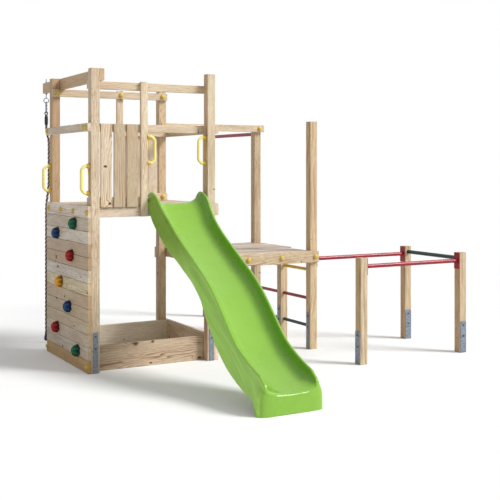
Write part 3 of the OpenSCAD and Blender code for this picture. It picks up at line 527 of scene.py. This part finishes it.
# moulded polyethylene or nylon: even colour with slow drifts, satin skin with an orange peel of about 3 mm
def mouldedPlastic(name, code, rough=0.38, drift=0.06, peel=0.12, sheenAndWear=None, footShade=None):
    mat, shader = startFinish(name)
    where = addNode(mat, "ShaderNodeTexCoord")
    slow = addNode(mat, "ShaderNodeTexNoise", {"Scale": every(142.9), "Detail": 2.0},
        {"Vector": where.outputs["Object"]})
    value = addNode(mat, "ShaderNodeMapRange",
        {"From Min": 0.3, "From Max": 0.7, "To Min": 1 - drift, "To Max": 1 + drift}, {"Value": slow})
    colour = addNode(mat, "ShaderNodeVectorMath", {"operation": "SCALE", 0: tint(code)[:3]}, {"Scale": value})
    fine = addNode(mat, "ShaderNodeTexNoise", {"Scale": every(3.03), "Detail": 1.0},
        {"Vector": where.outputs["Object"]})
    gloss = addNode(mat, "ShaderNodeMapRange", {"To Min": rough - 0.06, "To Max": rough + 0.08},
        {"Value": slow})
    if footShade:  # painted shade: darker ochre on the bosses at the feet
        boss = addNode(mat, "ShaderNodeAttribute", {"attribute_name": "boss"})
        colour = addNode(mat, "ShaderNodeMix", {"data_type": "RGBA", "B": tint(footShade)},
            {"A": colour, "Factor": boss.outputs["Fac"]}).outputs["Result"]
    if sheenAndWear:
        colour, gloss = slideLightAndWear(mat, where, sheenAndWear, colour, gloss)
    bump = addNode(mat, "ShaderNodeBump", {"Strength": peel, "Distance": 0.0004}, {"Height": fine})
    join(mat, shader, {"Base Color": colour, "Roughness": gloss, "Normal": bump})
    shader.inputs["IOR"].default_value = 1.5
    return mat


# powder coat over steel tube: thick even paint, orange peel of about 2 mm, lighter patches rubbed by hands
def powderCoat(name, code, rubbed, rough=0.36):
    mat, shader = startFinish(name)
    where = addNode(mat, "ShaderNodeTexCoord")
    slow = addNode(mat, "ShaderNodeTexNoise", {"Scale": every(111.1), "Detail": 4.0, "Roughness": 0.6},
        {"Vector": where.outputs["Object"]})
    wear = addNode(mat, "ShaderNodeMapRange", {"From Min": 0.45, "From Max": 0.75, "To Max": 0.45},
        {"Value": slow})
    colour = addNode(mat, "ShaderNodeMix", {"data_type": "RGBA", "A": tint(code), "B": tint(rubbed)},
        {"Factor": wear})
    peel = addNode(mat, "ShaderNodeTexNoise", {"Scale": every(2.083), "Detail": 1.0},
        {"Vector": where.outputs["Object"]})
    bump = addNode(mat, "ShaderNodeBump", {"Strength": 0.18, "Distance": 0.0003}, {"Height": peel})
    gloss = addNode(mat, "ShaderNodeMapRange", {"To Min": rough - 0.08, "To Max": rough + 0.12},
        {"Value": slow})
    join(mat, shader, {"Base Color": colour.outputs["Result"], "Roughness": gloss, "Normal": bump})
    shader.inputs["IOR"].default_value = 1.5
    return mat


# cast polyurethane resin with sand grit of about 1.5 mm, drawn at 3 mm so it shows
def gritResin(name, code, chalk):
    mat, shader = startFinish(name)
    where = addNode(mat, "ShaderNodeTexCoord")
    grit = addNode(mat, "ShaderNodeTexVoronoi", {"Scale": every(3.03)}, {"Vector": where.outputs["Object"]})
    slow = addNode(mat, "ShaderNodeTexNoise", {"Scale": every(35.71), "Detail": 3.0},
        {"Vector": where.outputs["Object"]})
    crown = addNode(mat, "ShaderNodeAttribute", {"attribute_name": "crown"})
    dusty = addNode(mat, "ShaderNodeMapRange", {"From Min": 0.45, "From Max": 0.8, "To Max": 0.2},
        {"Value": slow})
    rubbed = addNode(mat, "ShaderNodeMath", {"operation": "MULTIPLY"}, {0: dusty, 1: crown.outputs["Fac"]})
    # painted shade: the colour darkens toward the wall and in the notches between the knuckles
    paintedShade = addNode(mat, "ShaderNodeMapRange", {"From Max": 0.75, "To Min": 0.22, "To Max": 1.0},
        {"Value": crown.outputs["Fac"]})
    fresh = addNode(mat, "ShaderNodeMix", {"data_type": "RGBA", "A": tint(code), "B": tint(chalk)},
        {"Factor": rubbed})
    colour = addNode(mat, "ShaderNodeVectorMath", {"operation": "SCALE"},
        {0: fresh.outputs["Result"], "Scale": paintedShade})
    bump = addNode(mat, "ShaderNodeBump", {"Strength": 0.35, "Distance": 0.0006},
        {"Height": grit.outputs["Distance"]})
    gloss = addNode(mat, "ShaderNodeMapRange", {"To Min": 0.42, "To Max": 0.62}, {"Value": slow})
    join(mat, shader, {"Base Color": colour, "Roughness": gloss, "Normal": bump})
    shader.inputs["Specular IOR Level"].default_value = 0.3
    return mat


# zinc-plated steel: dull blue-grey metal with a fine grain and crystal patches of about 12 mm,
# smaller on small fittings
def zincSteel(name, bright, dull, rough, crystal=11.76):
    mat, shader = startFinish(name)
    where = addNode(mat, "ShaderNodeTexCoord")
    crystals = addNode(mat, "ShaderNodeTexVoronoi", {"Scale": every(crystal)},
        {"Vector": where.outputs["Object"]})
    shade = addNode(mat, "ShaderNodeSeparateColor", {}, {0: crystals.outputs["Color"]})
    stain = addNode(mat, "ShaderNodeTexNoise", {"Scale": every(62.5), "Detail": 4.0},
        {"Vector": where.outputs["Object"]})
    share = addNode(mat, "ShaderNodeMath", {"operation": "MULTIPLY"}, {0: shade, 1: stain})
    colour = addNode(mat, "ShaderNodeMix", {"data_type": "RGBA", "A": tint(bright), "B": tint(dull)},
        {"Factor": share})
    gloss = addNode(mat, "ShaderNodeMapRange", {"To Min": rough - 0.08, "To Max": rough + 0.1},
        {"Value": shade.outputs[1]})
    fine = addNode(mat, "ShaderNodeTexNoise", {"Scale": every(2.381), "Detail": 1.0},
        {"Vector": where.outputs["Object"]})
    bump = addNode(mat, "ShaderNodeBump", {"Strength": 0.12, "Distance": 0.0003}, {"Height": fine})
    join(mat, shader, {"Base Color": colour.outputs["Result"], "Roughness": gloss, "Normal": bump})
    shader.inputs["Metallic"].default_value = 1.0
    return mat


# climbing rope: three hard-laid strands round a core, with a slack bulge in the upper part
# between is the painted shade in the grooves, crowns the pale strand tops, partly painted highlight and
# partly rubbed
rope = dict(at=(88, 1436), top=1941.5, low=85.5, across=24.0, strand=9.2, core=8.6, lay=114.0,
    stepsPerTurn=16, sides=12, sway=24.0, swayIn=0.09, swayTo=0.26, swayOut=0.15, points=48,
    yarnWide=1.923, yarnLong=29.41, between=(0.66, "#0B0908"), crowns=(0.98, "#A8988A"))


def easedIn(share):
    share = max(0.0, min(1.0, share))
    return 3 * share ** 2 - 2 * share ** 3


def ropeDrift(z):  # sideways place of the rope at a height in the shared frame
    share = (rope["top"] / 1000 + planCorner.z - z) * 1000 / (rope["top"] - rope["low"])
    gone = easedIn((share - rope["swayTo"]) / rope["swayOut"])
    return rope["sway"] / 1000 * easedIn(share / rope["swayIn"]) * (1 - gone)


ropeTop = onPlan(*rope["at"], rope["top"])
ropeLow = onPlan(*rope["at"], rope["low"])
ropeLength = (ropeTop - ropeLow).length
turns = ropeLength * 1000 / rope["lay"]
steps = round(turns * rope["stepsPerTurn"])
bm = bmesh.new()
strandOut = (rope["across"] - rope["strand"]) / 2000
strands = [(rope["core"], 0.0, 0)] + [(rope["strand"], strandOut, third) for third in (0, 120, 240)]
for wide, aside, startTurn in strands:
    turned = Matrix.Rotation(math.radians(startTurn), 4, "Z")
    out = Matrix.Translation(ropeTop) @ turned @ Matrix.Translation((aside, 0, 0))
    end = openRing(bm, rope["sides"], wide / 2000, out)
    bmesh.ops.spin(bm, geom=end, cent=ropeTop, axis=(0, 0, 1), dvec=(0, 0, -ropeLength / steps),
        angle=-2 * math.pi * turns, steps=steps)
closeUp(bm, rope["sides"])
crown = bm.verts.layers.float.new("crown")
for vert in bm.verts:
    vert[crown] = (vert.co - ropeTop).xy.length * 2000 / rope["across"]
    vert.co.x += ropeDrift(vert.co.z)
# spun polypropylene fibre: dark brown yarns along the rope, 2 mm each; the colour runs from painted shade,
# near black, in the grooves between the strands to pale crowns that are partly painted highlight and partly
# rubbed
laidFibre, shader = startFinish("laidRopeFibre")
where = addNode(laidFibre, "ShaderNodeTexCoord")
yarnSteps = (every(rope["yarnWide"]), every(rope["yarnWide"]), every(rope["yarnLong"]))
drawn = addNode(laidFibre, "ShaderNodeVectorMath", {"operation": "MULTIPLY", 1: yarnSteps},
    {0: where.outputs["Object"]})
yarn = addNode(laidFibre, "ShaderNodeTexNoise", {"Scale": 1.0, "Detail": 2.0}, {"Vector": drawn})
outer = addNode(laidFibre, "ShaderNodeAttribute", {"attribute_name": "crown"})
rubbed = addNode(laidFibre, "ShaderNodeMath", {"operation": "MULTIPLY_ADD", 1: 0.35, 2: -0.17}, {0: yarn})
paintedLightAndWear = addNode(laidFibre, "ShaderNodeMath", {"operation": "ADD"}, {0: outer.outputs["Fac"], 1: rubbed})
colour = addNode(laidFibre, "ShaderNodeValToRGB", {}, {0: paintedLightAndWear})
for end, (at, code) in zip(colour.color_ramp.elements, (rope["between"], rope["crowns"])):
    end.position, end.color = at, tint(code)
bump = addNode(laidFibre, "ShaderNodeBump", {"Strength": 0.6, "Distance": 0.0008}, {"Height": yarn})
join(laidFibre, shader, {"Base Color": colour, "Normal": bump})
shader.inputs["Roughness"].default_value = 0.82
shader.inputs["Sheen Weight"].default_value = 0.2
climbingRope = addPiece(bm, "climbingRope", "rope", laidFibre, replaces=("rope",))
print("rope laid:", round(ropeLength, 3), "m,", len(climbingRope.data.polygons), "faces")

# slide: one moulded shell, its edges rounded by subdivision
slideLook = dict(lime="#84B241", rough=0.27, shine=0.2, coat=0.32, coatRough=0.2, joinBelow=50, ground=0.0005,
    square=0.9999, frontDeep=0.001, holdEdge=0.005, lipDeep=0.1, lipLow=0.098, lipWide=0.165, lipEased=3)
slideLow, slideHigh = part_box("slide")
# the slide's outer walls get pale streaks, partly rubbed wear and partly painted light and reflection; its
# inner walls get painted shade in a deeper green
rubbed = dict(middle=(slideLow.x + slideHigh.x) / 2, slope=35, streak=(0.05, 0.5, 0.028), clean=1.1,
    rubbed=0.75, outer=(0.12, 0.21), most=0.8, tone="#C6FF76",
    inner=(-0.03, -0.17), innerShade=0.45, deep="#559E0C")
bm = fromNode("slide")
crease = bm.edges.layers.float.new("crease_edge")
for edge in bm.edges:  # the edge that stands on the ground stays flat
    if all(vert.co.z < slideLook["ground"] for vert in edge.verts):
        edge[crease] = 1.0
# the foot's flat front becomes one face, so that the rounding leaves no ripples in it
footFront = [face for face in bm.faces if face.normal.y < -slideLook["square"]
    and face.calc_center_median().y < slideLow.y + slideLook["frontDeep"]]
bmesh.ops.dissolve_faces(bm, faces=footFront)
joinAngle = math.radians(slideLook["joinBelow"])
bmesh.ops.join_triangles(bm, faces=bm.faces, angle_face_threshold=joinAngle, angle_shape_threshold=joinAngle)
# a cut close to the ground keeps the foot's edge crisp
bmesh.ops.bisect_plane(bm, geom=bm.verts[:] + bm.edges[:] + bm.faces[:],
    plane_co=(0, 0, slideLook["holdEdge"]), plane_no=(0, 0, 1))
lip = [vert for vert in bm.verts if vert.co.y < slideLow.y + slideLook["lipDeep"]
    and vert.co.z > slideLook["lipLow"] and abs(vert.co.x - rubbed["middle"]) < slideLook["lipWide"]]
for step in range(slideLook["lipEased"]):
    bmesh.ops.smooth_vert(bm, verts=lip, factor=0.5, use_axis_x=True, use_axis_y=True, use_axis_z=True)
slidePlastic = mouldedPlastic("mouldedPolyethyleneLime", slideLook["lime"], slideLook["rough"], drift=0.02,
    sheenAndWear=rubbed)
shader = slidePlastic.node_tree.nodes["Principled BSDF"]
shader.inputs["Specular IOR Level"].default_value = slideLook["shine"]
shader.inputs["Coat Weight"].default_value = slideLook["coat"]
shader.inputs["Coat Roughness"].default_value = slideLook["coatRough"]
waveSlide = addPiece(bm, "waveSlide", "frame", slidePlastic, replaces=("slide",), sharp=70,
    levels=1)
print("slide smoothed:", len(waveSlide.data.polygons), "faces before rounding")

# climbing holds: cast lobed domes with deep notches between their six knuckles, feet flat on the boards
holdLooks = {  # colour, chalked colour, places on the wall
    "holds_green": ("#08664A", "#2E7A63", ((303, 1125), (228, 144))),
    "holds_blue": ("#124478", "#3D6494", ((736, 1026), (434, 459))),
    "holds_red": ("#AF1622", "#C24A50", ((374, 869), (744, 252))),
    "hold_yellow": ("#F4AE26", "#F2BF5A", ((648, 636),)),
}
holdShape = dict(face=-24, knuckles=6, rise=0.013, dome=0.03, curve=1.2, swell=0.13, notch=0.27, shade=0.3,
    joinFaces=40, joinShapes=50)
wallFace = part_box("wall")[0].x
for name, (code, chalk, spots) in holdLooks.items():
    bm = fromNode(name)
    middles = [onPlan(holdShape["face"], y, z) for y, z in spots]
    crease = bm.edges.layers.float.new("crease_edge")
    for edge in bm.edges:
        if all(abs(vert.co.x - wallFace) < 0.0001 for vert in edge.verts):
            edge[crease] = 1.0
    crown = bm.verts.layers.float.new("crown")
    depth = wallFace - min(vert.co.x for vert in bm.verts)
    for vert in bm.verts:
        middle = min(middles, key=lambda spot: (vert.co - spot).length)
        out = vert.co - middle
        reach = min(1.0, Vector((out.y, out.z)).length / holdShape["dome"])
        wave = (1 - math.cos(holdShape["knuckles"] * math.atan2(out.y, out.z))) / 2
        notch = wave ** holdShape["curve"] * reach
        # the crown value falls in the notches as well as toward the wall; the resin paints shade with it
        # there and chalk on the tops
        vert[crown] = max(0.0, (wallFace - vert.co.x) / depth - holdShape["shade"] * notch)
        grow = holdShape["swell"] * reach - holdShape["notch"] * notch
        vert.co.y += grow * out.y
        vert.co.z += grow * out.z
        vert.co.x = wallFace - (wallFace - vert.co.x) * (1 + holdShape["rise"] / depth)
    bmesh.ops.join_triangles(bm, faces=bm.faces, angle_face_threshold=math.radians(holdShape["joinFaces"]),
        angle_shape_threshold=math.radians(holdShape["joinShapes"]))
    resin = gritResin("castResin_" + name, code, chalk)
    addPiece(bm, name.replace("_", "Lobed_"), "frame", resin, replaces=(name,), levels=2)
print("holds cast")


def carryOn(bm, end, step, scale=1.0):  # pulls the open end of a tube straight on
    edges = [g for g in end if isinstance(g, bmesh.types.BMEdge)]
    made = bmesh.ops.extrude_edge_only(bm, edges=edges)["geom"]
    verts = [g for g in made if isinstance(g, bmesh.types.BMVert)]
    bmesh.ops.translate(bm, vec=step, verts=verts)
    middle = sum((v.co for v in verts), Vector()) / len(verts)
    bmesh.ops.scale(bm, vec=(scale, scale, scale), space=Matrix.Translation(-middle), verts=verts)
    return verts + [g for g in made if isinstance(g, bmesh.types.BMEdge) and all(v in verts for v in g.verts)]


def bendOn(bm, end, centre, axis, degrees, steps):  # carries the open end of a tube round a bend
    angle = math.radians(degrees)
    return bmesh.ops.spin(bm, geom=end, cent=centre, axis=axis, angle=angle, steps=steps)["geom_last"]


# grab handles: round moulded grips whose legs lean in to flared feet, 250 mm long
gripSides = 20
grab = dict(grip=12.0, foot=21.0, footUp=21.0, neck=28.0, firstBend=24.0, lastBend=34.0, reach=76.0,
    half=125.0, bossTop=36.0, bossFade=18.0)
flare = ((1, 21.0), (14, 20.37), (6, 17.11), (7, 12.0))  # millimetres on from the foot, and the radius there
handleSpots = (((0, 35, 1346), 180), ((0, 1013, 1346), 180), ((482, 56, 1578), 0), ((984, 35, 1578), 180))
size = {key: value / 1000 for key, value in grab.items()}
lean = math.sqrt(0.5)
bm = bmesh.new()
boss = bm.verts.layers.float.new("boss")
for spot, turn in handleSpots:
    before = set(bm.verts)
    foot = Matrix.Translation((0, 0, size["footUp"])) @ Matrix.Rotation(math.radians(90), 4, "Y")
    end = openRing(bm, gripSides, size["foot"], foot)
    radius = grab["foot"]
    for step, nextRadius in flare:
        end = carryOn(bm, end, (step / 1000, 0, 0), nextRadius / radius)
        radius = nextRadius
    end = bendOn(bm, end, (size["neck"], 0, size["footUp"] + size["firstBend"]), (0, -1, 0), 45, 6)
    legX = size["neck"] + size["firstBend"] * lean
    legZ = size["footUp"] + size["firstBend"] * (1 - lean)
    leg = (size["reach"] - size["grip"] - size["lastBend"] * (1 - lean) - legX) / lean
    end = carryOn(bm, end, (leg * lean, 0, leg * lean))
    corner = (legX + leg * lean - size["lastBend"] * lean, 0, legZ + leg * lean + size["lastBend"] * lean)
    end = bendOn(bm, end, corner, (0, -1, 0), 45, 8)
    carryOn(bm, end, (0, 0, size["half"] - corner[2]))
    fresh = [v for v in bm.verts if v not in before]
    half = fresh + list(dict.fromkeys(g for v in fresh for g in (*v.link_edges, *v.link_faces)))
    toMiddle = Matrix.Translation((0, 0, -size["half"]))
    bmesh.ops.mirror(bm, geom=half, matrix=toMiddle, merge_dist=0.0001, axis="Z")
    fresh = [v for v in bm.verts if v not in before]
    for vert in fresh:
        vert[boss] = easedIn((size["bossTop"] - vert.co.x) / size["bossFade"])
    placed = Matrix.Translation(onPlan(*spot)) @ Matrix.Rotation(math.radians(turn), 4, "Z")
    bmesh.ops.transform(bm, matrix=placed, verts=fresh)
closeUp(bm, gripSides)
# the handles' feet get painted shade in darker ochre
handleYellow = mouldedPlastic("mouldedNylonYellow", "#EFDF80", rough=0.3, drift=0.04, peel=0.08,
    footShade="#C9A63A")
addPiece(bm, "grabHandles", "frame", handleYellow, replaces=("handles",), sharp=50)
print("handles bent")

# domed covers snapped over the bolt heads, 44 mm across
cover = dict(rim=((22, 0), (22, 2.6), (21.2, 3.8), (19.6, 4.2)), domeWide=19.2, domeFrom=6.2, domeHigh=10.9,
    domeSteps=4)
coverOutline = list(cover["rim"])
for step in range(cover["domeSteps"] + 1):
    tilt = math.pi / 2 * step / cover["domeSteps"]
    height = cover["domeFrom"] + cover["domeHigh"] * math.sin(tilt)
    coverOutline.append((cover["domeWide"] * math.cos(tilt), height))
onLeft = [(-24, y, 1221) for y in (28, 350, 664, 996)] + [(-24, y, 48) for y in (30, 1024)]
onLeft += [(-28, y, 1871) for y in (38, 92, 1024)]
onFront = [(x, 950, 2197) for x in (46, 611, 1007)]
onFront += [(1011, 950, 1303), (1034, 950, 1933), (2009, 950, 1933)]
onFront += [(x, -28, 799) for x in (1019, 1348, 1667, 2004)]
onBack = [(x, 1076, 799) for x in (1019, 1348, 1667, 2004)]
onRight = [(1082, y, 1221) for y in (35, 350, 664, 1013)] + [(1082, y, 1871) for y in (35, 1013)]
coverSpots = {(-1, 0, 0): onLeft, (0, -1, 0): onFront, (0, 1, 0): onBack, (1, 0, 0): onRight}
bm = bmesh.new()
for facing, spots in coverSpots.items():
    for spot in spots:
        spunShape(bm, coverOutline, onPlan(*spot), facing)
closeUp(bm, sides=28)
capYellow = mouldedPlastic("mouldedNylonCap", "#CBAE42", rough=0.3, drift=0.05, peel=0.06)
addPiece(bm, "boltCovers", "frame", capYellow, replaces=("bolt_caps",), sharp=50)

# hexagon bolts with washers through the ground straps
hexBolt = dict(washer=((8.4, 0), (8.4, 1.6), (0, 1.6)), head=((7.6, 1.6), (7.6, 5.0), (6.6, 6.0), (0, 6.0)),
    drops=(32, 124))
strapTops = {  # by the way each strap faces
    (0, -1, 0): ((35, -5, 311), (1019, -5, 311), (3032, -5, 265), (3032, -737, 265)),
    (0, 1, 0): ((35, 1053, 311), (1019, 1053, 311)),
    (-1, 0, 0): ((1964, 35, 315), (1964, 524, 315), (1964, 1013, 315), (1964, 2055, 315), (1964, -697, 265)),
}
bm = bmesh.new()
for facing, spots in strapTops.items():
    for x, y, top in spots:
        for drop in hexBolt["drops"]:
            for outline, sides in ((hexBolt["washer"], 24), (hexBolt["head"], 6)):
                spunShape(bm, outline, onPlan(x, y, top - drop), facing, sides)
closeUp(bm, sides=28)
boltZinc = zincSteel("zincBolt", "#6A727C", "#3A4048", 0.42)
addPiece(bm, "strapHexBolts", "frame", boltZinc, replaces=("strap_bolts",), sharp=30)
print("covers and bolts set")

# snap hook: 8 mm wire bent into a long link, with a sleeve-like gate between its two ends
link = dict(at=(88, 1436), top=2136.0, low=2068.0, bend=15.0, wire=4.0, sides=16,
    gateFrom=2080.0, gateTo=2128.0)
gate = ((0, -1), (4.48, -1), (5.6, 2), (5.6, 16), (4.592, 18), (4.592, 36), (5.6, 38), (5.6, 47), (4.48, 49),
    (0, 49))
middle = onPlan(*link["at"], 0)
bend, wire = link["bend"] / 1000, link["wire"] / 1000
bm = bmesh.new()
start = middle + Vector((0, -bend, link["gateTo"] / 1000))
end = openRing(bm, link["sides"], wire, Matrix.Translation(start))
end = carryOn(bm, end, (0, 0, (link["top"] - link["gateTo"]) / 1000))
end = bendOn(bm, end, middle + Vector((0, 0, link["top"] / 1000)), (-1, 0, 0), 180, 18)
end = carryOn(bm, end, (0, 0, (link["low"] - link["top"]) / 1000))
end = bendOn(bm, end, middle + Vector((0, 0, link["low"] / 1000)), (-1, 0, 0), 180, 18)
carryOn(bm, end, (0, 0, (link["gateFrom"] - link["low"]) / 1000))
spunShape(bm, gate, middle + Vector((0, -bend, link["gateFrom"] / 1000)), (0, 0, 1), 20)
closeUp(bm, link["sides"])
fittingZinc = zincSteel("zincFitting", "#8E949C", "#565D66", 0.3, crystal=6.25)
addPiece(bm, "snapLink", "hook", fittingZinc, replaces=("snap_hook",), sharp=45)
dress(fittingZinc, "eye_bolt")
print("hook bent")

barRed = powderCoat("powderCoatRed", "#930820", "#9A2034", rough=0.32)
dress(barRed, "rung_red", "turn_bar_back", "turn_bar_front", "high_bar")
dress(powderCoat("powderCoatGreen", "#052F2E", "#1E4A48"), "rung_green", "cross_bar")
dress(powderCoat("powderCoatYellow", "#D8AE2E", "#E8CD7A"), "rung_yellow")
dress(zincSteel("zincStrap", "#98A1AE", "#5C636E", 0.46), "ground_straps")
sleeveBlack = mouldedPlastic("mouldedRubberBlack", "#17171A", rough=0.5, drift=0.15, peel=0.3)
dress(sleeveBlack, "rope_sleeve", "rope_end")
ropePath = [ropeTop.lerp(ropeLow, i / rope["points"]) for i in range(rope["points"] + 1)]
ropePath = [point + Vector((ropeDrift(point.z), 0, 0)) for point in ropePath]
print("fittings finished")

print("finished")
